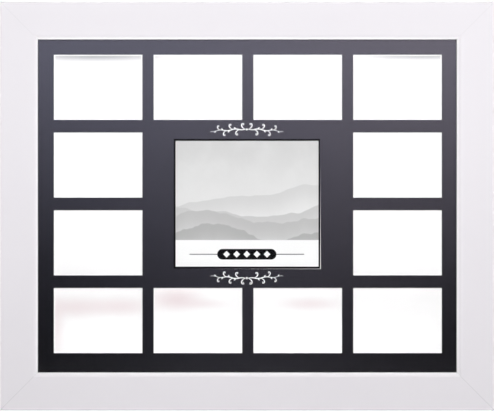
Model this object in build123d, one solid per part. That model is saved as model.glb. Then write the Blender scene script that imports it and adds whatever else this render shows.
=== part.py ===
from build123d import *
import os

# A wall-hung collage photo frame: a mitred white moulding round a black window mat, glazed in front
# and closed behind by a panel that eight turn buttons hold in the rabbet.
# Millimetres. +X is the viewer's right, +Z is up, and the front faces -Y. The wall is the plane y = 0.
# Every piece is modelled about the middle of the sight opening, and the export then lifts the model so that
# its origin is the point of the wall behind the middle notch of the top hanger.

# Window mat: a ring of small windows round one large window
window_columns = 4
window_rows = 4
window_width = 105.0
window_height = 77.2
column_gap = 13.35
row_gap = 15.0
margin_left = 18.75
margin_right = 17.4
margin_top = 17.95
margin_bottom = 22.85
centre_border_side = 39.8
centre_border_end = 24.4
centre_shift_x = -1.2
centre_shift_z = 0.25
mat_bevel_reach = 1.5

# Picture stack, from front to back
glazing_thickness = 2.0
glazing_slack = 0.1
card_thickness = 0.3
card_overlap = 1.5
mat_thickness = 1.5
mount_board_thickness = 1.5
back_panel_thickness = 3.0
board_trim = 0.5

# Moulding section
face_width = 44.0
lip_thickness = 10.75
rabbet_width = 7.5
rabbet_allowance = 1.6
sight_slope_width = 3.2
sight_slope_depth = 0.9
sight_bevel_width = 1.7
sight_bevel_depth = 1.9
sight_edge_radius = 0.7
bevel_break_radius = 0.8
face_break_radius = 0.5
outer_front_radius = 1.8
outer_rear_bevel = 0.8

# Corner V-nails, two to a mitre, driven flush from behind
v_nail_leg = 7.0
v_nail_gauge = 0.6
v_nail_height = 10.0
v_nail_inner_inset = 9.5
v_nail_outer_inset = 11.0

# Turn buttons: spring steel leaves with a lifted tip
button_thickness = 1.0
button_width = 9.5
button_tail = 5.5
button_reach = 24.5
button_tip_length = 7.0
button_tip_lift = 1.6
button_pivot_inset = 11.0
button_corner_inset_long = 122.0
button_corner_inset_short = 100.0

# Pan-head screws that the turn buttons swivel on
screw_shank_radius = 1.45
screw_length = 11.0
screw_tip_length = 3.0
screw_head_radius = 3.2
screw_head_top_radius = 2.4
screw_head_height = 1.6
screw_slot_width = 0.8
screw_slot_length = 3.4
screw_slot_depth = 0.9
pilot_clearance = 0.05
pivot_clearance = 0.08
head_clearance = 0.08

# Sawtooth hangers, one for each way up, driven in by the prongs at their ends
hanger_length = 46.0
hanger_height = 9.0
hanger_gauge = 0.9
hanger_foot = 9.5
hanger_ramp = 2.5
hanger_rise = 1.5
hanger_inset = 14.0
prong_length = 7.0
prong_shoulder = 2.0
notch_count = 7
notch_pitch = 2.8
notch_width = 2.3
notch_depth = 1.9

# Wall bumpers
bumper_radius = 5.0
bumper_top_radius = 4.0
bumper_height = 3.0
bumper_corner_inset = 40.0
bumper_edge_inset = 14.0

# Sizes that follow from the ones above
grid_width = window_columns * window_width + (window_columns - 1) * column_gap
grid_height = window_rows * window_height + (window_rows - 1) * row_gap
sight_width = margin_left + grid_width + margin_right
sight_height = margin_bottom + grid_height + margin_top
grid_x = (margin_left - margin_right) / 2
grid_z = (margin_bottom - margin_top) / 2
rabbet_span_width = sight_width + 2 * rabbet_width
rabbet_span_height = sight_height + 2 * rabbet_width
glazing_width = rabbet_span_width - 2 * rabbet_allowance
glazing_height = rabbet_span_height - 2 * rabbet_allowance
outer_width = sight_width + 2 * face_width
outer_height = sight_height + 2 * face_width
centre_width = grid_width - 2 * (window_width + centre_border_side)
centre_height = grid_height - 2 * (window_height + centre_border_end)
centre_x = grid_x + centre_shift_x
centre_z = grid_z + centre_shift_z

# Depths, counted from the wall towards the viewer
rear_y = -bumper_height
panel_y = rear_y - back_panel_thickness
board_y = panel_y - mount_board_thickness
mat_y = board_y - mat_thickness
card_y = mat_y - card_thickness
lip_y = card_y - glazing_slack - glazing_thickness
front_y = lip_y - lip_thickness

hanger_edge = rabbet_width + hanger_inset
hang_height = sight_height / 2 + hanger_edge + notch_depth
pivot_height = rabbet_width + button_pivot_inset
cut_margin = 1.0

# Each side's own frame: x along the side, y as in the model, z outwards from the sight edge
side_frames = {
    "top": Location((0, 0, sight_height / 2)),
    "right": Location((sight_width / 2, 0, 0), (0, 90, 0)),
    "bottom": Location((0, 0, -sight_height / 2), (0, 180, 0)),
    "left": Location((-sight_width / 2, 0, 0), (0, -90, 0)),
}
side_section = Plane((0, 0, 0), x_dir=(0, 0, 1), z_dir=(-1, 0, 0))
facing_viewer = Plane.XZ


def flat_sheet(width, height, thickness, front):
    """A sheet parallel to the wall, with its front face at y = front."""
    return Pos(0, front + thickness / 2, 0) * Box(width, thickness, height)


def turned(*points):
    """A solid of revolution about the Y axis, from an outline of (radius, y) points."""
    return revolve(make_face(Polyline(*points, close=True)), Axis.Y)


def moulding_section():
    """The moulding's outline: x outwards from the sight edge, y towards the wall."""
    sight_edge = (0, front_y + sight_slope_depth + sight_bevel_depth)
    bevel_break = (sight_bevel_width, front_y + sight_slope_depth)
    face_break = (sight_bevel_width + sight_slope_width, front_y)
    outer_front = (face_width, front_y)
    outline = make_face(
        Polyline(
            (0, lip_y),
            sight_edge,
            bevel_break,
            face_break,
            outer_front,
            (face_width, rear_y - outer_rear_bevel),
            (face_width - outer_rear_bevel, rear_y),
            (rabbet_width, rear_y),
            (rabbet_width, lip_y),
            close=True,
        )
    )
    for corner, radius in (
        (sight_edge, sight_edge_radius),
        (bevel_break, bevel_break_radius),
        (face_break, face_break_radius),
        (outer_front, outer_front_radius),
    ):
        outline = fillet(outline.vertices().sort_by_distance((*corner, 0))[0], radius)
    return outline


def moulding_length(sight_length):
    """One length of moulding in its side's frame, mitred at both ends."""
    half_blank = sight_length / 2 + face_width + cut_margin
    length = extrude(side_section * moulding_section(), half_blank, both=True)
    for end in (-1, 1):
        mitre = Plane((end * sight_length / 2, 0, 0), z_dir=(end, 0, -1))
        length = split(length, bisect_by=mitre, keep=Keep.BOTTOM)
    return length


def v_nail(side_x, side_z, inset):
    """A V-nail across one mitre, its legs along the two lengths that meet there."""
    gauge, leg = v_nail_gauge, v_nail_leg
    outline = make_face(
        Polyline((0, 0), (-leg, 0), (-leg, -gauge), (-gauge, -gauge), (-gauge, -leg), (0, -leg), close=True)
    )
    plate = extrude(facing_viewer.offset(-rear_y) * outline, v_nail_height)
    if side_x < 0:
        plate = mirror(plate, Plane.YZ)
    if side_z < 0:
        plate = mirror(plate, Plane.XY)
    return Pos(side_x * (sight_width / 2 + inset), 0, side_z * (sight_height / 2 + inset)) * plate


def corner_v_nails():
    insets = (rabbet_width + v_nail_inner_inset, face_width - v_nail_outer_inset)
    return [v_nail(x, z, inset) for x in (-1, 1) for z in (-1, 1) for inset in insets]


def window_cutter(width, height, x, z):
    """A window's opening in the mat, with its bevel closing towards the back."""
    slope = mat_bevel_reach / mat_thickness
    sections = []
    for depth in (-cut_margin, mat_thickness + cut_margin):
        narrowing = 2 * slope * depth
        plane = facing_viewer.offset(-(mat_y + depth))
        sections.append(plane * Pos(x, z) * Rectangle(width - narrowing, height - narrowing))
    return loft(sections, ruled=True)


def small_window_centres():
    """The centres of the windows round the edge of the grid, the large window taking the middle."""
    for row in range(window_rows):
        for column in range(window_columns):
            if row in (0, window_rows - 1) or column in (0, window_columns - 1):
                x = (column - (window_columns - 1) / 2) * (window_width + column_gap)
                z = (row - (window_rows - 1) / 2) * (window_height + row_gap)
                yield grid_x + x, grid_z + z


def mat_board():
    mat = flat_sheet(glazing_width, glazing_height, mat_thickness, mat_y)
    for x, z in small_window_centres():
        mat -= window_cutter(window_width, window_height, x, z)
    return mat - window_cutter(centre_width, centre_height, centre_x, centre_z)


def insert_card():
    """The card over the large window, held between the glazing and the mat."""
    width = centre_width + 2 * card_overlap
    height = centre_height + 2 * card_overlap
    return Pos(centre_x, 0, centre_z) * flat_sheet(width, height, card_thickness, card_y)


def turn_button():
    """A leaf that points inwards from its pivot at the origin, lying on the plane y = 0."""
    crank = button_tip_length - button_reach
    side_view = make_face(
        Polyline(
            (button_tail, 0),
            (crank, 0),
            (-button_reach, button_tip_lift),
            (-button_reach, button_tip_lift + button_thickness),
            (crank, button_thickness),
            (button_tail, button_thickness),
            close=True,
        )
    )
    strip = extrude(side_section * side_view, button_width / 2, both=True)
    outline = Pos(0, (button_tail - button_reach) / 2) * SlotOverall(
        button_reach + button_tail, button_width, rotation=90
    )
    column = extrude(facing_viewer * outline, button_tip_lift + button_thickness + cut_margin, both=True)
    hole = Cylinder(screw_shank_radius + pivot_clearance, 4 * button_thickness, rotation=(90, 0, 0))
    return (strip & column) - hole


def pan_head_screw():
    """A screw on the Y axis whose head bears on a turn button that lies on the plane y = 0."""
    seat = button_thickness + head_clearance
    top = seat + screw_head_height
    tip = seat - screw_length
    screw = turned(
        (0, tip),
        (screw_shank_radius, tip + screw_tip_length),
        (screw_shank_radius, seat),
        (screw_head_radius, seat),
        (screw_head_top_radius, top),
        (0, top),
    )
    slot = Pos(0, top, 0) * Box(screw_slot_width, 2 * screw_slot_depth, screw_slot_length)
    return screw - slot - Rot(0, 90, 0) * slot


def screw_pilot():
    """The hole that a turn button's screw fills in the moulding, its point included."""
    radius = screw_shank_radius + pilot_clearance
    tip = button_thickness + head_clearance - screw_length - pilot_clearance
    return turned((0, tip), (radius, tip + screw_tip_length), (radius, cut_margin), (0, cut_margin))


def hanger_prongs():
    """The two bent ends of a hanger in its side's frame, each with a pair of points sunk in the moulding."""
    quarter = hanger_height / 4
    shoulder = rear_y - prong_shoulder
    points = rear_y - prong_length
    end_view = make_face(
        Polyline(
            (0, rear_y + hanger_gauge),
            (0, shoulder),
            (quarter, points),
            (2 * quarter, shoulder),
            (3 * quarter, points),
            (4 * quarter, shoulder),
            (4 * quarter, rear_y + hanger_gauge),
            close=True,
        )
    )
    prong = extrude(side_section * end_view, hanger_gauge / 2, both=True)
    reach = (hanger_length - hanger_gauge) / 2
    return [Pos(end * reach, 0, hanger_edge) * prong for end in (-1, 1)]


def sawtooth_hanger():
    """A hanger in its side's frame: a bridged strip with notches along its inner edge."""
    half = hanger_length / 2
    foot = half - hanger_foot
    bridge = foot - hanger_ramp
    wood_side = [
        (-half, rear_y),
        (-foot, rear_y),
        (-bridge, rear_y + hanger_rise),
        (bridge, rear_y + hanger_rise),
        (foot, rear_y),
        (half, rear_y),
    ]
    wall_side = [(x, y + hanger_gauge) for x, y in reversed(wood_side)]
    strip = extrude(make_face(Polyline(*wood_side, *wall_side, close=True)), hanger_height)
    hanger = Pos(0, 0, hanger_edge) * strip + hanger_prongs()
    for number in range(notch_count):
        middle = (number - (notch_count - 1) / 2) * notch_pitch
        notch = Polyline(
            (middle - notch_width / 2, hanger_edge),
            (middle, hanger_edge + notch_depth),
            (middle + notch_width / 2, hanger_edge),
            (middle, hanger_edge - cut_margin),
            close=True,
        )
        hanger -= extrude(facing_viewer * make_face(notch), bumper_height + cut_margin)
    return hanger


def wall_bumper():
    """A soft bumper on the moulding's back, standing out as far as the wall."""
    return turned((0, rear_y), (bumper_radius, rear_y), (bumper_top_radius, 0), (0, 0))


# Where the turn buttons swivel: each is named by its corner of the back, and placed along its side's frame
long_place = rabbet_span_width / 2 - button_corner_inset_long
short_place = rabbet_span_height / 2 - button_corner_inset_short
button_sides = {
    "top_left": ("top", -long_place),
    "top_right": ("top", long_place),
    "right_upper": ("right", -short_place),
    "right_lower": ("right", short_place),
    "bottom_right": ("bottom", -long_place),
    "bottom_left": ("bottom", long_place),
    "left_lower": ("left", -short_place),
    "left_upper": ("left", short_place),
}
button_places = {
    name: side_frames[side] * Location((along, rear_y, pivot_height))
    for name, (side, along) in button_sides.items()
}
hanger_frames = {"top": side_frames["top"], "side": side_frames["left"]}
bumper_places = [
    Location((x * (outer_width / 2 - bumper_corner_inset), 0, z * (outer_height / 2 - bumper_edge_inset)))
    for x in (-1, 1)
    for z in (-1, 1)
]


def build_nodes():
    """Every node of the model by name, about the middle of the sight opening."""
    v_nails = corner_v_nails()
    sunk = v_nails + [place * screw_pilot() for place in button_places.values()]
    sunk += [frame * prong for frame in hanger_frames.values() for prong in hanger_prongs()]
    lengths = {
        "top_rail": ("top", sight_width),
        "bottom_rail": ("bottom", sight_width),
        "left_stile": ("left", sight_height),
        "right_stile": ("right", sight_height),
    }
    nodes = {
        name: side_frames[side] * moulding_length(length) - sunk
        for name, (side, length) in lengths.items()
    }
    nodes["corner_v_nails"] = Compound(v_nails)
    nodes["glazing"] = flat_sheet(glazing_width, glazing_height, glazing_thickness, lip_y)
    nodes["mat_board"] = mat_board()
    nodes["insert_card"] = insert_card()
    board_width = glazing_width - 2 * board_trim
    board_height = glazing_height - 2 * board_trim
    nodes["mount_board"] = flat_sheet(board_width, board_height, mount_board_thickness, board_y)
    nodes["back_panel"] = flat_sheet(board_width, board_height, back_panel_thickness, panel_y)
    for name, place in button_places.items():
        nodes[f"turn_button_{name}"] = place * turn_button()
    nodes["turn_button_screws"] = Compound([place * pan_head_screw() for place in button_places.values()])
    for name, frame in hanger_frames.items():
        nodes[f"sawtooth_hanger_{name}"] = frame * sawtooth_hanger()
    nodes["wall_bumpers"] = Compound([place * wall_bumper() for place in bumper_places])
    return nodes


os.makedirs("parts", exist_ok=True)
for node_name, shape in build_nodes().items():
    export_step(Pos(0, 0, -hang_height) * shape, f"parts/{node_name}.step")
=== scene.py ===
import math
from functools import partial

import bmesh
import bpy
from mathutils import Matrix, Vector


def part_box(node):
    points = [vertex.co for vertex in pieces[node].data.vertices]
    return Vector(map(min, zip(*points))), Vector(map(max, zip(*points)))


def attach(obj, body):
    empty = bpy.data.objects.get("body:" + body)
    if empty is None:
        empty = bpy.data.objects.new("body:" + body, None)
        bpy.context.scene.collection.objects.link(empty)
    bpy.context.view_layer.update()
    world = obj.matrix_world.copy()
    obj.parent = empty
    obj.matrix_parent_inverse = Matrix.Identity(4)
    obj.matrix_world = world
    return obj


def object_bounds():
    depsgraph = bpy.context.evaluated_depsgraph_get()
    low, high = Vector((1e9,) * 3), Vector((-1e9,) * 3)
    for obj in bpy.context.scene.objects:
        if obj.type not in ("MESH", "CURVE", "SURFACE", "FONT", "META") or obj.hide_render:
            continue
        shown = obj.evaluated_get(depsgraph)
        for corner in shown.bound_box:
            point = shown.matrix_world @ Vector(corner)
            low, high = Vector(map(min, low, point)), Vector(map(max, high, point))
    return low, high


# Metres, in the model's own frame: +X is the viewer's right, +Z is up, the front faces -Y and the wall is
# y = 0.
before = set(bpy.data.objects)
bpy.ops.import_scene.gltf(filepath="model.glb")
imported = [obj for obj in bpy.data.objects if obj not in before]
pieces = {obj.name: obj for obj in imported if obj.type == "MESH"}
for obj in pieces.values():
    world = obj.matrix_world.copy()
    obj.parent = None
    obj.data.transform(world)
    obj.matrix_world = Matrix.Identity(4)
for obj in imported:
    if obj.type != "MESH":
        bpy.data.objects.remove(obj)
cad_low, cad_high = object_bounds()
MM = 0.001

# The picture: its size in pixels, what one pixel spans at the moulding's face, and where the camera stands
IMAGE_WIDTH = 494
PIXEL = 1.182 * MM
CAMERA_DISTANCE = 4.0
SENSOR_WIDTH = 36.0
AIM_X = -0.3 * MM
AIM_Z = 0.6 * MM

# Light: the world's share on the object. A soft lamp has a place from the frame's middle, a size, watts,
# a spread in degrees and an aim, and the fill lights only the lowest windows. A raking lamp has a side that
# it shines from and a strength.
WORLD_SHARE = 0.49
ROOM_AIM = Vector((0.12, 0.0, 0.10))
LOW_WINDOWS = Vector((0.0, 0.0, -0.16))
LAMPS = {
    "key": (Vector((0.25, -1.5, 1.15)), (1.6, 0.7), 2.6, 40, ROOM_AIM),
    "fill": (LOW_WINDOWS + Vector((0.0, -0.8, 0.0)), (0.46, 0.02), 0.011, 5, LOW_WINDOWS),
    "rear": (Vector((0.5, 1.6, 0.9)), (3.2, 2.2), 19.0, 180, ROOM_AIM),
}
RAKING_LAMPS = {
    "rake_under": (Vector((0.0, -0.17, -1.0)), 1.7),
    "rake_left": (Vector((-1.0, -0.17, 0.0)), 0.65),
    "rake_right": (Vector((1.0, -0.17, 0.0)), 0.80),
}
RAKING_SPREAD = math.radians(25)

# Graduated card behind the camera, which only mirrors show. Its glow grows with height, leans to the right,
# is fuller in the middle and bluer on the left, and past its reach it is even.
CARD_DISTANCE = 4.4
CARD_HALF_WIDTH = 6.0
CARD_LOWEST = -3.0
CARD_HIGHEST = 0.9
GLOW_REACH = 0.55
GLOW_LEVEL = 0.515
GLOW_RISE = 1.48
GLOW_RISE_MORE = 1.22
GLOW_LEAN = 0.19
GLOW_LEAN_MORE = 0.33
GLOW_BULGE = 0.66
GLOW_BULGE_LESS = 1.8
GLOW_TINT_LEFT = (1.00, 1.0, 1.36, 1.0)
GLOW_TINT_RIGHT = (1.08, 1.0, 1.25, 1.0)

# Floor: a pale disc that fades into the background at its rim, and throws back little light. Where the frame
# stands, from a little behind its face, it shades the lowest edge.
FLOOR_RADIUS = 0.46
FLOOR_SIDES = 96
FLOOR_FADE = 0.20
FLOOR_GLOW = 0.8
FLOOR_BOUNCE = 0.42
FLOOR_TONES = (0.93, 0.96)
SHADE_INSET = 0.5 * MM

# Landmarks taken from the model
sight_low = Vector((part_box("left_stile")[1].x, 0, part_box("bottom_rail")[1].z))
sight_high = Vector((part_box("right_stile")[0].x, 0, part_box("top_rail")[0].z))
sight_middle = (sight_low + sight_high) / 2
middle = (cad_low + cad_high) / 2
front_y = cad_low.y
rear_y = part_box("top_rail")[1].y
glazing_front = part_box("glazing")[0].y
mat_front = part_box("mat_board")[0].y
half_width = (cad_high.x - cad_low.x) / 2
half_height = (cad_high.z - cad_low.z) / 2
face_width = cad_high.x - sight_high.x
card_low, card_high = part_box("insert_card")
card_middle = (card_low + card_high) / 2
card_half_width = (card_high.x - card_low.x) / 2
card_half_height = (card_high.z - card_low.z) / 2


class Graph:
    """One node tree. An input given a socket is joined to it, and one given a value is set to it."""

    def __init__(self, tree):
        self.tree = tree
        tree.nodes.clear()

    def feed(self, socket, value):
        if isinstance(value, bpy.types.NodeSocket):
            self.tree.links.new(value, socket)
        else:
            socket.default_value = value

    def add(self, kind, inputs=None, **settings):
        node = self.tree.nodes.new("ShaderNode" + kind)
        for name, value in settings.items():
            setattr(node, name, value)
        for key, value in (inputs or {}).items():
            self.feed(node.inputs[key], value)
        return node

    def math(self, operation, *values):
        node = self.add("Math", operation=operation)
        for socket, value in zip(node.inputs, values):
            self.feed(socket, value)
        return node.outputs[0]

    def weighted(self, *terms):
        """Values added up, each times its weight."""
        total = 0.0
        for value, weight in terms:
            total = self.math("MULTIPLY_ADD", value, weight, total)
        return total

    def inset(self, at, centre, half):
        """How far a place lies inside two edges, half to each side of a centre."""
        return self.math("SUBTRACT", half, self.math("ABSOLUTE", self.math("SUBTRACT", at, centre)))

    def span(self, value, low, high, to_low=0.0, to_high=1.0):
        """Smoothly from to_low at low to to_high at high."""
        inputs = {"Value": value, "From Min": low, "From Max": high, "To Min": to_low, "To Max": to_high}
        return self.add("MapRange", inputs, interpolation_type="SMOOTHSTEP").outputs[0]

    def blend(self, share, first, second):
        """Numbers mixed, second at share 1."""
        return self.add("Mix", {0: share, 2: first, 3: second}).outputs[0]

    def mix(self, share, first, second):
        """Colours mixed, second at share 1."""
        return self.add("Mix", {0: share, 6: first, 7: second}, data_type="RGBA").outputs[2]

    def place(self):
        return self.add("TexCoord").outputs["Object"]

    def split(self, vector):
        return self.add("SeparateXYZ", {0: vector}).outputs

    def stretched(self, vector, scales):
        return self.add("VectorMath", {0: vector, 1: scales}, operation="MULTIPLY").outputs[0]

    def noise(self, vector, scale, detail=2.0, roughness=0.5, distortion=0.0):
        inputs = {"Vector": vector, "Scale": scale, "Detail": detail, "Roughness": roughness}
        inputs["Distortion"] = distortion
        return self.add("TexNoise", inputs).outputs[0]

    def ridge(self, along, scale, seed, detail):
        """A height that wanders with a distance along one line."""
        inputs = {"W": self.math("ADD", along, seed), "Scale": scale, "Detail": detail}
        return self.add("TexNoise", inputs, noise_dimensions="1D").outputs[0]

    def bump(self, height, distance, strength=1.0):
        return self.add("Bump", {"Height": height, "Distance": distance, "Strength": strength}).outputs[0]

    def seen(self):
        """1 for what the camera sees, straight or by way of a mirror or glass, and otherwise 0."""
        light = self.add("LightPath").outputs
        mirrored = self.math("MAXIMUM", light["Is Glossy Ray"], light["Is Transmission Ray"])
        return self.math("MAXIMUM", light["Is Camera Ray"], mirrored)


def grey(level):
    return (level, level, level, 1.0)


def colour(red, green, blue):
    return (red, green, blue, 1.0)


def new_material(name):
    material = bpy.data.materials.new(name)
    material.use_nodes = True
    graph = Graph(material.node_tree)
    return material, graph


def surface(graph, shader):
    graph.add("OutputMaterial", {"Surface": shader})


def principled(graph, inputs):
    surface(graph, graph.add("BsdfPrincipled", inputs).outputs[0])


# Moulding: satin paint with a painted highlight along the inner rim, a hairline joint at each mitre, bare
# wood behind and in the rabbet, and paint drifted over the rear edges. The paint ends a little before the
# rear face and before the glass, and the rabbet sets in at a share of the face's width from the outer edge.
# Grain is given by how fast it changes along each axis.
PAINT = (colour(0.752, 0.727, 0.759), colour(0.777, 0.752, 0.784))
HIGHLIGHT_PAINT = colour(0.845, 0.832, 0.853)
JOINT_PAINT = colour(0.50, 0.49, 0.50)
WOOD = (colour(0.52, 0.36, 0.20), colour(0.74, 0.58, 0.39))
PORE_WOOD = colour(0.36, 0.23, 0.12)
JOINT_WOOD = colour(0.20, 0.13, 0.07)
WOOD_ROUGHNESS = 0.74
HIGHLIGHT_FULL = 1.36 * MM
HIGHLIGHT_REACH = 2.21 * MM
JOINT_HALF = 0.10 * MM
JOINT_REACH = 0.55 * MM
JOINT_DARKEST = 0.60
JOINT_PALEST = 0.25
JOINT_IN_WOOD = 0.6
REAR_FACE = (1.0 * MM, 0.7 * MM)
RABBET_FRONT = (0.4 * MM, 0.1 * MM)
RABBET_EDGE = (0.5, 0.7)
DRIFT_FULL = 0.6 * MM
DRIFT_REACH = 2.4 * MM
DRIFT_WANDER = 3.5 * MM
DRIFT_COVER = 0.85
MOULDING_RELIEF = 0.03 * MM
RAIL_GRAIN = (14.0, 170.0, 170.0)
STILE_GRAIN = (170.0, 170.0, 14.0)


def white_paint(graph, place, z, inset, joint):
    """Slightly cloudy paint with a painted highlight along the inner rim, whose joints show more towards the
    bottom.
    """
    paint = graph.mix(graph.noise(place, 5.0, 2.0), *PAINT)
    from_rim = graph.math("SUBTRACT", face_width, inset)
    # Painted highlight: paler paint near the inner rim stands in for the light that the sight edge catches
    paint = graph.mix(graph.span(from_rim, HIGHLIGHT_FULL, HIGHLIGHT_REACH, 1.0, 0.0), paint, HIGHLIGHT_PAINT)
    darkness = graph.span(z, cad_low.z, cad_high.z, JOINT_DARKEST, JOINT_PALEST)
    return graph.mix(graph.math("MULTIPLY", joint, darkness), paint, JOINT_PAINT)


def bare_wood(graph, growth, pores, joint):
    """Pale wood with growth lines, fine pores and dark joints."""
    wood = graph.mix(growth, *WOOD)
    wood = graph.mix(graph.span(pores, 0.56, 0.72, 0.0, 0.35), wood, PORE_WOOD)
    return graph.mix(graph.math("MULTIPLY", joint, JOINT_IN_WOOD), wood, JOINT_WOOD)


def bare_share(graph, place, y, inset):
    """How bare the wood is: behind and in the rabbet, less where paint has drifted over the rear edges."""
    rear_face = graph.span(y, *(rear_y - before for before in REAR_FACE))
    rabbet = graph.span(y, *(glazing_front - before for before in RABBET_FRONT))
    inner = graph.span(inset, *(share * face_width for share in RABBET_EDGE))
    behind = graph.math("MAXIMUM", rear_face, graph.math("MULTIPLY", rabbet, inner))
    wander = graph.math("SUBTRACT", graph.noise(place, 22.0, 2.0), 0.5)
    from_edge = graph.math("MULTIPLY_ADD", wander, DRIFT_WANDER, inset)
    drift = graph.span(from_edge, DRIFT_FULL, DRIFT_REACH, DRIFT_COVER, 0.0)
    return graph.math("MULTIPLY", behind, graph.math("SUBTRACT", 1.0, drift))


def painted_wood(name, grain_scales):
    """A length of painted moulding, whose grain runs one way."""
    material, graph = new_material(name)
    place = graph.place()
    x, y, z = graph.split(place)
    inset_x = graph.inset(x, middle.x, half_width)
    inset_z = graph.inset(z, middle.z, half_height)
    inset = graph.math("MINIMUM", inset_x, inset_z)
    off_mitre = graph.math("ABSOLUTE", graph.math("SUBTRACT", inset_x, inset_z))
    joint = graph.span(off_mitre, JOINT_HALF, JOINT_REACH, 1.0, 0.0)
    grain = graph.stretched(place, grain_scales)
    growth = graph.noise(grain, 1.0, 3.0, 0.55, 0.6)
    pores = graph.noise(grain, 7.0, 2.0, 0.6)
    peel = graph.noise(place, 620.0, 2.0, 0.45)
    satin = graph.span(graph.noise(place, 38.0, 3.0), 0.3, 0.7, 0.34, 0.45)

    paint = white_paint(graph, place, z, inset, joint)
    paint_height = graph.weighted((peel, 0.5), (growth, 0.25), (joint, -1.0))
    wood = bare_wood(graph, growth, pores, joint)
    wood_height = graph.weighted((pores, 3.0), (growth, 1.5), (joint, -3.0))
    bare = bare_share(graph, place, y, inset)
    principled(
        graph,
        {
            "Base Color": graph.mix(bare, paint, wood),
            "Roughness": graph.blend(bare, satin, WOOD_ROUGHNESS),
            "Normal": graph.bump(graph.blend(bare, paint_height, wood_height), MOULDING_RELIEF),
        },
    )
    return material


# Clear glass that mirrors little
GLASS_IOR = 1.24


def clear_glass():
    """Clear sheet: what is behind it shows through, with the room mirrored on top."""
    material, graph = new_material("clear_glass")
    wiped = graph.noise(graph.stretched(graph.place(), (9.0, 9.0, 3.0)), 1.0, 3.0)
    roughness = graph.span(wiped, 0.3, 0.7, 0.015, 0.035)
    fresnel = graph.add("Fresnel", {"IOR": GLASS_IOR}).outputs[0]
    outside = graph.math("SUBTRACT", 1.0, graph.add("NewGeometry").outputs["Backfacing"])
    mirrored = graph.math("MULTIPLY", fresnel, outside)
    mirror = graph.add("BsdfAnisotropic", {"Color": mirrored, "Roughness": roughness})
    clear = graph.add("BsdfTransparent", {"Color": grey(1.0)})
    surface(graph, graph.add("AddShader", {0: clear.outputs[0], 1: mirror.outputs[0]}).outputs[0])
    return material


def paper_fibre(graph, place):
    """Felted fibres: two directions of short strands."""
    across = graph.noise(graph.stretched(place, (2600.0, 900.0, 520.0)), 1.0, 2.0)
    along = graph.noise(graph.stretched(place, (520.0, 900.0, 2600.0)), 1.0, 2.0)
    return graph.math("MAXIMUM", across, along)


# Mat board: black facing paper on a white core. The facing is scored beside the card's right edge and below
# its lower edge, ever wider towards their corner: how far off the card each score lies, and half its width
# there.
FACING = (colour(0.0031, 0.0029, 0.0039), colour(0.0050, 0.0047, 0.0061))
CORE = (colour(0.84, 0.83, 0.82), colour(0.92, 0.91, 0.90))
CORE_ROUGHNESS = 0.9
SATIN_IOR = 1.82
SCORE_RIGHT = 0.68 * MM
SCORE_RIGHT_HALF = 0.34 * MM
SCORE_BELOW = 0.44 * MM
SCORE_BELOW_HALF = 0.16 * MM


def scored(graph, place):
    """Where the scores beside the card lay the core bare."""
    x, _, z = graph.split(place)
    right = card_high.x + SCORE_RIGHT
    below = card_low.z - SCORE_BELOW
    down = graph.math("DIVIDE", graph.math("SUBTRACT", card_high.z, z), card_high.z - below)
    across = graph.math("DIVIDE", graph.math("SUBTRACT", x, card_low.x), right - card_low.x)
    scores = []
    for along, off, half in (
        (down, graph.math("SUBTRACT", x, right), SCORE_RIGHT_HALF),
        (across, graph.math("SUBTRACT", z, below), SCORE_BELOW_HALF),
    ):
        on_edge = graph.math("COMPARE", along, 0.5, 0.5)
        reach = graph.math("MULTIPLY", graph.math("MULTIPLY", along, along), half)
        inside = graph.math("LESS_THAN", graph.math("ABSOLUTE", off), reach)
        scores.append(graph.math("MULTIPLY", on_edge, inside))
    return graph.math("MAXIMUM", *scores)


def black_mat():
    """Satin black facing paper, with the white core showing on the cut bevels and in the scores."""
    material, graph = new_material("black_mat")
    place = graph.place()
    fibre = paper_fibre(graph, place)
    black = graph.mix(graph.span(fibre, 0.5, 0.8), *FACING)
    core = graph.mix(graph.noise(place, 900.0, 2.0), *CORE)
    squareness = graph.math("ABSOLUTE", graph.split(graph.add("NewGeometry").outputs["True Normal"])[1])
    bevel = graph.span(squareness, 0.80, 0.95, 1.0, 0.0)
    cut = graph.math("MAXIMUM", bevel, scored(graph, place))
    satin = graph.span(fibre, 0.4, 0.8, 0.13, 0.19)
    principled(
        graph,
        {
            "Base Color": graph.mix(cut, black, core),
            "Roughness": graph.blend(cut, satin, CORE_ROUGHNESS),
            "IOR": SATIN_IOR,
            "Specular IOR Level": 0.49,
            "Normal": graph.bump(fibre, 0.003 * MM, 0.5),
        },
    )
    return material


# White board and white ink. On the sheet behind the windows, painted shade where it lies a little slack: a
# painted shadow under the top edges of two windows and soft rosy painted shade lower down, each by its place
# from the middle of the sight opening, half its width and height, and its depth.
BOARD = (colour(0.950, 0.944, 0.947), colour(0.962, 0.958, 0.960))
WHITE_INK = (grey(0.86), grey(0.93))
PAINTED_SHADOW = colour(0.32, 0.32, 0.35)
PAINTED_ROSY_SHADE = colour(0.78, 0.66, 0.68)
PAINTED_SHADE_SPOTS = [
    (PAINTED_SHADOW, -177 * MM, 180 * MM, 127 * MM, 11.6 * MM, 1.0),
    (PAINTED_SHADOW, 206 * MM, 180 * MM, 115 * MM, 9.5 * MM, 0.9),
    (PAINTED_ROSY_SHADE, -205 * MM, -120 * MM, 60 * MM, 19 * MM, 0.60),
    (PAINTED_ROSY_SHADE, -150 * MM, -119 * MM, 54 * MM, 17 * MM, 0.58),
    (PAINTED_ROSY_SHADE, -227 * MM, -142 * MM, 16 * MM, 54 * MM, 0.48),
    (PAINTED_ROSY_SHADE, -84 * MM, -111 * MM, 46 * MM, 20 * MM, 0.78),
    (PAINTED_ROSY_SHADE, -50 * MM, -116 * MM, 38 * MM, 9 * MM, 0.36),
    (PAINTED_ROSY_SHADE, 74 * MM, -116 * MM, 50 * MM, 11.5 * MM, 0.50),
]


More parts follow.
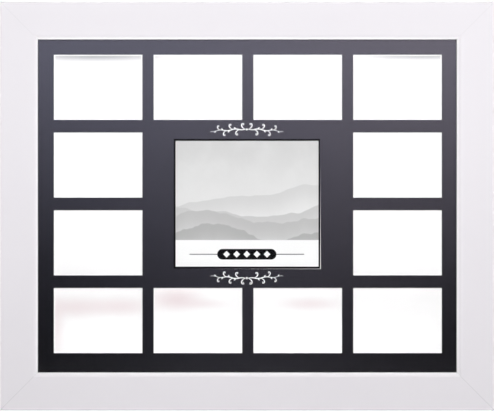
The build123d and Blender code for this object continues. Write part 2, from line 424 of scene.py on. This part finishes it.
def painted_shade_share(graph, place, x, z, half_across, half_up, depth):
    """How deep a spot of painted shade is: its depth in the middle, fading to nothing at its rim."""
    spot = (sight_middle.x + x, 0.0, sight_middle.z + z)
    off = graph.add("VectorMath", {0: place, 1: spot}, operation="SUBTRACT").outputs[0]
    off = graph.stretched(off, (1 / half_across, 0.0, 1 / half_up))
    reach = graph.add("VectorMath", {0: off}, operation="LENGTH").outputs["Value"]
    return graph.span(reach, 0.0, 1.0, depth, 0.0)


def white_board(name, shades, shade_spots=()):
    """White with a faint fibre and an uneven sheen, with painted shade in the given spots."""
    material, graph = new_material(name)
    place = graph.place()
    fibre = paper_fibre(graph, place)
    white = graph.mix(graph.noise(place, 7.0, 2.0), *shades)
    for tint, *shape in shade_spots:
        # Painted shade: grey and rosy tints stand in for the shade on the slack sheet behind the windows
        white = graph.mix(painted_shade_share(graph, place, *shape), white, tint)
    principled(
        graph,
        {
            "Base Color": white,
            "Roughness": graph.span(fibre, 0.4, 0.8, 0.62, 0.80),
            "Specular IOR Level": 0.25,
            "Normal": graph.bump(fibre, 0.01 * MM, 0.5),
        },
    )
    return material


# Card print. Heights are shares of the card's half height from its middle. A hill has a mean height, how
# much it rises and falls, the scale and the start of its waves, and the grey of its top, which pales below.
PAPER = grey(0.90)
INK = grey(0.002)
SKY = (grey(0.72), grey(0.60))
MIST = grey(0.76)
GRAIN = grey(0.35)
HILLS = [
    (0.12, 0.34, 5.0, 3.0, 0.615),
    (-0.06, 0.36, 6.5, 11.0, 0.560),
    (-0.25, 0.34, 9.0, 23.0, 0.495),
    (-0.44, 0.30, 12.0, 37.0, 0.425),
]
HILL_PALER = 0.14
HILL_DEPTH = 0.45
BAND_TOP = -0.56
BAND_SOFT = 0.004
# The rule round the print is narrower on the right, by twice its shift
RULE_WIDTH = 2.2 * MM
RULE_SHIFT = 0.29 * MM
RULE_SOFT = 0.15 * MM
BAR_HALF_LENGTH = 35.0 * MM
BAR_HALF_HEIGHT = 6.2 * MM
LOZENGES = 5
LOZENGE_PITCH = 12.0 * MM
LOZENGE_HALF = 3.9 * MM
HAIRLINE_HALF = 0.35 * MM
HAIRLINE_REACH = 68.0 * MM
BAR_SOFT = 0.2 * MM


def ornament_bar(graph, x, z):
    """A black bar with round ends and white lozenges in it, on a thin rule across the white band."""
    band_middle = (BAND_TOP - 1.0) / 2 * card_half_height
    rise = graph.math("ABSOLUTE", graph.math("SUBTRACT", z, band_middle))
    far = graph.math("ABSOLUTE", x)
    past = graph.math("MAXIMUM", graph.math("SUBTRACT", far, BAR_HALF_LENGTH - BAR_HALF_HEIGHT), 0.0)
    spread = graph.math("ADD", graph.math("MULTIPLY", past, past), graph.math("MULTIPLY", rise, rise))
    spread = graph.math("SQRT", spread)
    bar = graph.span(spread, BAR_HALF_HEIGHT, BAR_HALF_HEIGHT + BAR_SOFT, 1.0, 0.0)
    wrapped = graph.math("PINGPONG", graph.math("ADD", x, LOZENGE_PITCH / 2), LOZENGE_PITCH / 2)
    near = graph.math("SUBTRACT", LOZENGE_PITCH / 2, wrapped)
    lozenge = graph.span(graph.math("ADD", near, rise), LOZENGE_HALF, LOZENGE_HALF + BAR_SOFT, 1.0, 0.0)
    within = graph.math("LESS_THAN", far, LOZENGES / 2 * LOZENGE_PITCH)
    left_white = graph.math("MULTIPLY", lozenge, within)
    rule = graph.span(rise, HAIRLINE_HALF, HAIRLINE_HALF + BAR_SOFT, 1.0, 0.0)
    rule = graph.math("MULTIPLY", rule, graph.math("LESS_THAN", far, HAIRLINE_REACH))
    return graph.math("MULTIPLY", graph.math("MAXIMUM", bar, rule), graph.math("SUBTRACT", 1.0, left_white))


def misty_hills(graph, place, x, height):
    """Hills one before the other under a hazy sky, with a fine grain."""
    haze = graph.span(graph.noise(place, 30.0, 4.0), 0.35, 0.75, 0.0, 0.35)
    picture = graph.mix(haze, graph.mix(graph.span(height, 0.0, 1.0), *SKY), MIST)
    for mean, swing, waves, seed, level in HILLS:
        wander = graph.math("SUBTRACT", graph.ridge(x, waves, seed, 4.0), 0.5)
        top = graph.math("MULTIPLY_ADD", wander, 2 * swing, mean)
        depth = graph.math("SUBTRACT", top, height)
        shade = graph.mix(graph.span(depth, 0.0, HILL_DEPTH), grey(level), grey(level + HILL_PALER))
        picture = graph.mix(graph.span(depth, -0.006, 0.010), picture, shade)
    grain = graph.span(graph.noise(place, 2200.0, 1.0), 0.3, 0.7, 0.0, 0.06)
    return graph.mix(grain, picture, GRAIN)


def printed_card():
    """A print of misty hills above a plain band, inside a thin black rule."""
    material, graph = new_material("printed_card")
    place = graph.place()
    x, _, z = graph.split(place)
    x = graph.math("SUBTRACT", x, card_middle.x)
    z = graph.math("SUBTRACT", z, card_middle.z)
    height = graph.math("DIVIDE", z, card_half_height)
    picture = misty_hills(graph, place, x, height)
    band = graph.span(height, BAND_TOP - BAND_SOFT, BAND_TOP + BAND_SOFT, 1.0, 0.0)
    picture = graph.mix(band, picture, PAPER)
    picture = graph.mix(ornament_bar(graph, x, z), picture, INK)
    edge_x = graph.inset(x, RULE_SHIFT, card_half_width + RULE_SHIFT)
    edge_z = graph.inset(z, 0.0, card_half_height)
    edge = graph.math("MINIMUM", edge_x, edge_z)
    rule = graph.span(edge, RULE_WIDTH, RULE_WIDTH + RULE_SOFT, 1.0, 0.0)
    fibre = paper_fibre(graph, place)
    principled(
        graph,
        {
            "Base Color": graph.mix(rule, picture, INK),
            "Roughness": graph.span(fibre, 0.4, 0.8, 0.62, 0.76),
            "Specular IOR Level": 0.02,
            "Normal": graph.bump(fibre, 0.006 * MM, 0.5),
        },
    )
    return material


# Hardboard: its fibres, clouds and specks
BROWN = (colour(0.205, 0.112, 0.056), colour(0.365, 0.225, 0.122))
CLOUD_BROWN = colour(0.27, 0.15, 0.075)
SPECK_BROWN = colour(0.10, 0.052, 0.026)


def hardboard():
    """Pressed brown fibreboard: matted fibres of several lengths and darker specks."""
    material, graph = new_material("hardboard")
    place = graph.place()
    strands = graph.noise(graph.stretched(place, (560.0, 300.0, 330.0)), 1.0, 4.0, 0.62, 3.2)
    cross = graph.noise(graph.stretched(place, (300.0, 300.0, 620.0)), 1.0, 4.0, 0.62, 3.2)
    fibre = graph.weighted((strands, 0.5), (cross, 0.5))
    cloud = graph.noise(place, 9.0, 3.0)
    specks = graph.noise(place, 420.0, 2.0)
    brown = graph.mix(graph.span(fibre, 0.35, 0.65), *BROWN)
    brown = graph.mix(graph.span(cloud, 0.3, 0.7, 0.0, 0.30), brown, CLOUD_BROWN)
    brown = graph.mix(graph.span(specks, 0.66, 0.74, 0.0, 0.55), brown, SPECK_BROWN)
    principled(
        graph,
        {
            "Base Color": brown,
            "Roughness": graph.span(fibre, 0.3, 0.7, 0.50, 0.72),
            "Normal": graph.bump(fibre, 0.05 * MM, 0.7),
        },
    )
    return material


# Plated steel: tones, ranges of roughness, and how fast the marks of its making change along each axis
SPRING_TONE = (0.47, 0.465, 0.445)
SPRING_ROUGHNESS = (0.24, 0.40)
ZINC_TONE = (0.53, 0.53, 0.515)
ZINC_ROUGHNESS = (0.26, 0.44)
DULLED = 0.80
ROLLED_UPRIGHT = (1500.0, 1500.0, 90.0)
ROLLED_LEVEL = (90.0, 1500.0, 1500.0)
PRESSED = (700.0, 700.0, 700.0)


def plated_steel(name, tone, scales, roughness):
    """Zinc plating: cloudy and finely marked."""
    material, graph = new_material(name)
    place = graph.place()
    cloud = graph.noise(place, 160.0, 3.0)
    marks = graph.noise(graph.stretched(place, scales), 1.0, 3.0, 0.6)
    worn = graph.weighted((cloud, 0.5), (marks, 0.5))
    dull = colour(*(DULLED * part for part in tone))
    principled(
        graph,
        {
            "Base Color": graph.mix(graph.span(cloud, 0.35, 0.7), colour(*tone), dull),
            "Metallic": 1.0,
            "Roughness": graph.span(worn, 0.35, 0.65, *roughness),
            "Normal": graph.bump(marks, 0.01 * MM, 0.5),
        },
    )
    return material


# Wall bumpers: soft clear plastic
BUMPER = (colour(0.66, 0.67, 0.66), colour(0.78, 0.79, 0.78))
BUMPER_IOR = 1.49
BUMPER_ALPHA = 0.5


def clear_bumper():
    """Soft clear polyurethane: what is under it shows through, with fine dust on its skin."""
    material, graph = new_material("clear_bumper")
    dust = graph.noise(graph.place(), 900.0, 3.0)
    principled(
        graph,
        {
            "Base Color": graph.mix(dust, *BUMPER),
            "Roughness": graph.span(dust, 0.35, 0.7, 0.12, 0.24),
            "IOR": BUMPER_IOR,
            "Alpha": BUMPER_ALPHA,
            "Normal": graph.bump(dust, 0.004 * MM, 0.4),
        },
    )
    return material


# Vine scroll in millimetres, drawn from the middle to the right and mirrored to the left. A run is a length
# and the bend at its start and end, in degrees to a millimetre. A peak is the share of a stroke where it is
# widest.
SCROLL_STEP = 0.25
HAIRLINE = 0.3
SWELL_POWER = 1.3
STEM_START = (0.0, 0.6)
STEM_HEADING = -16
STEM_RUNS = [(9, 1.0, 5.5), (9, -2.0, -5.5), (9, 2.0, 5.5), (9, -2.0, -6.0), (8, 3.0, 6.0)]
STEM_WIDEST = 1.3
STEM_PEAK = 0.3
CURL_RUNS = [(7.0, 1.0, 9.0), (6.0, 9.0, 26.0), (4.6, 26.0, 70.0)]
CURL_PEAK = 0.45
# Each curl's share along the stem, side, turn away from it, size and widest stroke
CURLS = [
    (0.04, 1, 38, 0.76, 1.3),
    (0.20, -1, 34, 0.72, 1.25),
    (0.38, 1, 34, 0.68, 1.2),
    (0.57, -1, 34, 0.62, 1.15),
    (0.74, 1, 34, 0.54, 1.05),
]
# Each leaf's share along the stem, side, turn away from it and length
LEAVES = [(0.30, 1, 55, 3.2), (0.48, -1, 55, 3.0), (0.66, 1, 55, 2.7), (0.86, -1, 50, 2.4)]
LEAF_BEND_IN = -6
LEAF_BEND_OUT = -10
LEAF_WIDEST = 1.3
LEAF_PEAK = 0.5
# A curl ends in a bead, with a radius that has a fixed part and a part that grows with the curl
BEAD_SIDES = 16
BEAD_RADIUS = 0.15
BEAD_GROWTH = 0.55
LOZENGE_REACH = 1.7
# Thickness of the ink, in metres, and the height of the mat's strips that the scrolls lie in
INK_STEM = 0.045 * MM
INK_CURL = 0.040 * MM
INK_LEAF = 0.035 * MM
STRIP_HEIGHT = 22.7 * MM


def scroll_line(start, heading, runs):
    """Points along a line whose bend changes evenly over each run, as (x, z, direction)."""
    x, z = start
    angle = math.radians(heading)
    line = [(x, z, angle)]
    for length, bend_in, bend_out in runs:
        steps = max(2, round(length / SCROLL_STEP))
        stride = length / steps
        for step in range(steps):
            share = (step + 0.5) / steps
            angle += math.radians(bend_in + (bend_out - bend_in) * share) * stride
            x += math.cos(angle) * stride
            z += math.sin(angle) * stride
            line.append((x, z, angle))
    return line


def stroke(line, widest, peak):
    """The two edges of a pen stroke that swells to its widest at peak, a share of its length."""
    power = math.log(0.5) / math.log(peak)
    edges = []
    for index, (x, z, angle) in enumerate(line):
        share = (index / (len(line) - 1)) ** power
        swell = max(math.sin(math.pi * share), 0.0) ** SWELL_POWER
        half = (HAIRLINE + (widest - HAIRLINE) * swell) / 2
        off_x = -math.sin(angle) * half
        off_z = math.cos(angle) * half
        edges.append(((x + off_x, z + off_z), (x - off_x, z - off_z)))
    return edges


def scroll_strokes():
    """Every stroke of the right half as (edges, ink thickness), and every bead as (x, z, radius)."""
    stem = scroll_line(STEM_START, STEM_HEADING, STEM_RUNS)
    strokes = [(stroke(stem, STEM_WIDEST, STEM_PEAK), INK_STEM)]
    beads = []
    for share, side, turn, size, widest in CURLS:
        x, z, angle = stem[round(share * (len(stem) - 1))]
        runs = [(length * size, side * a / size, side * b / size) for length, a, b in CURL_RUNS]
        curl = scroll_line((x, z), math.degrees(angle) + side * turn, runs)
        strokes.append((stroke(curl, widest, CURL_PEAK), INK_CURL))
        beads.append((curl[-1][0], curl[-1][1], BEAD_GROWTH * size + BEAD_RADIUS))
    for share, side, turn, length in LEAVES:
        x, z, angle = stem[round(share * (len(stem) - 1))]
        runs = [(length, side * LEAF_BEND_IN, side * LEAF_BEND_OUT)]
        leaf = scroll_line((x, z), math.degrees(angle) + side * turn, runs)
        strokes.append((stroke(leaf, LEAF_WIDEST, LEAF_PEAK), INK_LEAF))
    return strokes, beads


def ink_strip(mesh, edges, thickness, to_model):
    """A closed thin ribbon between the two edges of a stroke, on the mat's face."""
    rings = []
    for first, second in edges:
        ring = [to_model(*point, depth) for depth in (0.0, thickness) for point in (first, second)]
        rings.append([mesh.verts.new(ring[i]) for i in (0, 1, 3, 2)])
    for before, after in zip(rings, rings[1:]):
        for i in range(4):
            mesh.faces.new((before[i], before[(i + 1) % 4], after[(i + 1) % 4], after[i]))
    mesh.faces.new(rings[0])
    mesh.faces.new(rings[-1])


def ink_plate(mesh, outline, thickness, to_model):
    """A closed thin plate with the given outline, on the mat's face."""
    back = [mesh.verts.new(to_model(x, z, 0.0)) for x, z in outline]
    front = [mesh.verts.new(to_model(x, z, thickness)) for x, z in outline]
    mesh.faces.new(back)
    mesh.faces.new(front)
    for i in range(len(outline)):
        j = (i + 1) % len(outline)
        mesh.faces.new((back[i], back[j], front[j], front[i]))


def ring_points(x, z, radius, sides):
    turns = [2 * math.pi * i / sides for i in range(sides)]
    return [(x + radius * math.cos(turn), z + radius * math.sin(turn)) for turn in turns]


def on_mat(x, z, side, upright, across, up, depth):
    """A place in the scroll, as millimetres across and up and a depth of ink, taken to the mat's face."""
    return Vector((x + side * across * MM, mat_front - depth, z + upright * up * MM))


def flourish(name, x, z, upright, material):
    """A white vine scroll on the mat's face, its middle at (x, z)."""
    mesh = bmesh.new()
    strokes, beads = scroll_strokes()
    left = partial(on_mat, x, z, -1, upright)
    right = partial(on_mat, x, z, 1, upright)
    for to_model in (left, right):
        for edges, thickness in strokes:
            ink_strip(mesh, edges, thickness, to_model)
        for bead_x, bead_z, radius in beads:
            ink_plate(mesh, ring_points(bead_x, bead_z, radius, BEAD_SIDES), INK_STEM, to_model)
    ink_plate(mesh, ring_points(0.0, 0.0, LOZENGE_REACH, 4), INK_STEM, right)
    bmesh.ops.recalc_face_normals(mesh, faces=mesh.faces)
    data = bpy.data.meshes.new(name)
    mesh.to_mesh(data)
    mesh.free()
    data.materials.append(material)
    piece = bpy.data.objects.new(name, data)
    bpy.context.scene.collection.objects.link(piece)
    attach(piece, "frame")


# Finishes of the model's own pieces
rail_paint = painted_wood("painted_rail", RAIL_GRAIN)
stile_paint = painted_wood("painted_stile", STILE_GRAIN)
leaf_along_z = plated_steel("spring_steel_upright", SPRING_TONE, ROLLED_UPRIGHT, SPRING_ROUGHNESS)
leaf_along_x = plated_steel("spring_steel_level", SPRING_TONE, ROLLED_LEVEL, SPRING_ROUGHNESS)
zinc = plated_steel("zinc_steel", ZINC_TONE, PRESSED, ZINC_ROUGHNESS)
finishes = {
    "top_rail": rail_paint,
    "bottom_rail": rail_paint,
    "left_stile": stile_paint,
    "right_stile": stile_paint,
    "glazing": clear_glass(),
    "mat_board": black_mat(),
    "mount_board": white_board("mount_board", BOARD, PAINTED_SHADE_SPOTS),
    "insert_card": printed_card(),
    "back_panel": hardboard(),
    "corner_v_nails": zinc,
    "turn_button_screws": zinc,
    "sawtooth_hanger_top": zinc,
    "sawtooth_hanger_side": zinc,
    "wall_bumpers": clear_bumper(),
}
for name in pieces:
    if name.startswith("turn_button_") and name not in finishes:
        upright = "top" in name or "bottom" in name
        finishes[name] = leaf_along_z if upright else leaf_along_x
for name, material in finishes.items():
    for slot in pieces[name].material_slots:
        slot.material = material

# Flourishes in the middle of the strips above and below the large window
ink = white_board("white_ink", WHITE_INK)
flourish("flourish_upper", card_middle.x, card_high.z + STRIP_HEIGHT / 2, 1, ink)
flourish("flourish_lower", card_middle.x, card_low.z - STRIP_HEIGHT / 2, -1, ink)


def add_mesh(name, corners, faces, material):
    data = bpy.data.meshes.new(name)
    data.from_pydata(corners, [], faces)
    data.materials.append(material)
    thing = bpy.data.objects.new(name, data)
    bpy.context.scene.collection.objects.link(thing)
    return thing


def floor_material():
    """Pale floor that keeps the shadow near the object and turns to the background's white at its rim."""
    material, graph = new_material("floor")
    place = graph.place()
    x, y, _ = graph.split(place)
    far = graph.math("SQRT", graph.math("ADD", graph.math("MULTIPLY", x, x), graph.math("MULTIPLY", y, y)))
    rim = graph.span(far, FLOOR_FADE, FLOOR_RADIUS, FLOOR_GLOW, 1.0)
    seen = graph.seen()
    tone = graph.mix(graph.noise(place, 260.0, 2.0), *map(grey, FLOOR_TONES))
    pale = graph.add(
        "BsdfPrincipled",
        {
            "Base Color": graph.mix(seen, grey(FLOOR_BOUNCE), tone),
            "Roughness": 0.8,
            "Specular IOR Level": 0.1,
        },
    )
    white = graph.add("Emission", {"Color": grey(1.0), "Strength": 1.0})
    share = graph.math("MULTIPLY", rim, seen)
    surface(graph, graph.add("MixShader", {0: share, 1: pale.outputs[0], 2: white.outputs[0]}).outputs[0])
    return material


def floor():
    corners = [(x, y, 0) for x, y in ring_points(0.0, 0.0, FLOOR_RADIUS, FLOOR_SIDES)]
    disc = add_mesh("floor", corners, [range(FLOOR_SIDES)], floor_material())
    disc.location = (middle.x, middle.y, cad_low.z)
    disc.visible_shadow = False
    foot = [(x, y, 0) for x in (-half_width, half_width) for y in (front_y + SHADE_INSET, rear_y)]
    shade = add_mesh("floor_shade", foot, [(0, 1, 3, 2)], disc.active_material)
    shade.location = (middle.x, 0, cad_low.z)
    for kind in ("camera", "diffuse", "glossy", "transmission"):
        setattr(shade, "visible_" + kind, False)


def card_material():
    """A lilac grey glow: a curved rise with height, a lean to the right and a bulge in the middle."""
    material, graph = new_material("graduated_card")
    x, _, z = graph.split(graph.place())
    x, z = (graph.math("MINIMUM", graph.math("MAXIMUM", at, -GLOW_REACH), GLOW_REACH) for at in (x, z))
    slope = graph.math("MULTIPLY_ADD", z, GLOW_RISE_MORE, GLOW_RISE)
    glow = graph.math("MULTIPLY_ADD", z, slope, GLOW_LEVEL)
    lean = graph.math("MULTIPLY_ADD", z, GLOW_LEAN_MORE, GLOW_LEAN)
    glow = graph.math("MULTIPLY_ADD", x, lean, glow)
    bulge = graph.math("MULTIPLY_ADD", z, GLOW_BULGE_LESS, -GLOW_BULGE)
    glow = graph.math("MULTIPLY_ADD", graph.math("MULTIPLY", x, x), bulge, glow)
    glow = graph.math("MAXIMUM", glow, 0.0)
    tint = graph.mix(graph.span(x, -GLOW_REACH, GLOW_REACH), GLOW_TINT_LEFT, GLOW_TINT_RIGHT)
    surface(graph, graph.add("Emission", {"Color": tint, "Strength": glow}).outputs[0])
    return material


def graduated_card():
    sides = (-CARD_HALF_WIDTH, CARD_HALF_WIDTH)
    corners = [(x, 0, z) for z in (CARD_LOWEST, CARD_HIGHEST) for x in sides]
    sheet = add_mesh("graduated_card", corners, [(0, 1, 3, 2)], card_material())
    sheet.location = (sight_middle.x, front_y - CARD_DISTANCE, sight_middle.z)
    for kind in ("camera", "diffuse", "shadow", "transmission"):
        setattr(sheet, "visible_" + kind, False)


def studio_world():
    """White where the camera, metal and glass see it, and softer as light on the object."""
    world = bpy.data.worlds.new("studio")
    world.use_nodes = True
    graph = Graph(world.node_tree)
    strength = graph.span(graph.seen(), 0.0, 1.0, WORLD_SHARE, 1.0)
    backdrop = graph.add("Background", {"Color": grey(1.0), "Strength": strength})
    graph.add("OutputWorld", {"Surface": backdrop.outputs[0]})
    bpy.context.scene.world = world


def lamp(name, offset, size, watts, spread, aim):
    """A soft lamp. Mirrors show each of them but the fill."""
    data = bpy.data.lights.new(name, "AREA")
    data.shape = "RECTANGLE"
    data.size, data.size_y = size
    data.energy = watts
    data.spread = math.radians(spread)
    thing = bpy.data.objects.new(name, data)
    thing.location = middle + offset
    thing.rotation_euler = (aim - offset).to_track_quat("-Z", "Y").to_euler()
    thing.visible_camera = False
    thing.visible_glossy = name != "fill"
    bpy.context.scene.collection.objects.link(thing)


def raking_lamp(name, source, strength):
    """A far soft lamp that shines from source and only skims the face."""
    data = bpy.data.lights.new(name, "SUN")
    data.energy = strength
    data.angle = RAKING_SPREAD
    thing = bpy.data.objects.new(name, data)
    thing.location = middle + source
    thing.rotation_euler = (-source).to_track_quat("-Z", "Y").to_euler()
    bpy.context.scene.collection.objects.link(thing)


def camera():
    data = bpy.data.cameras.new("camera")
    data.sensor_width = SENSOR_WIDTH
    data.lens = SENSOR_WIDTH * CAMERA_DISTANCE / (IMAGE_WIDTH * PIXEL)
    thing = bpy.data.objects.new("camera", data)
    thing.location = (sight_middle.x + AIM_X, front_y - CAMERA_DISTANCE, sight_middle.z + AIM_Z)
    thing.rotation_euler = (math.pi / 2, 0, 0)
    bpy.context.scene.collection.objects.link(thing)
    bpy.context.scene.camera = thing


camera()
studio_world()
for name, settings in LAMPS.items():
    lamp(name, *settings)
for name, (source, strength) in RAKING_LAMPS.items():
    raking_lamp(name, source, strength)
floor()
graduated_card()
bpy.context.scene.view_settings.view_transform = "Standard"
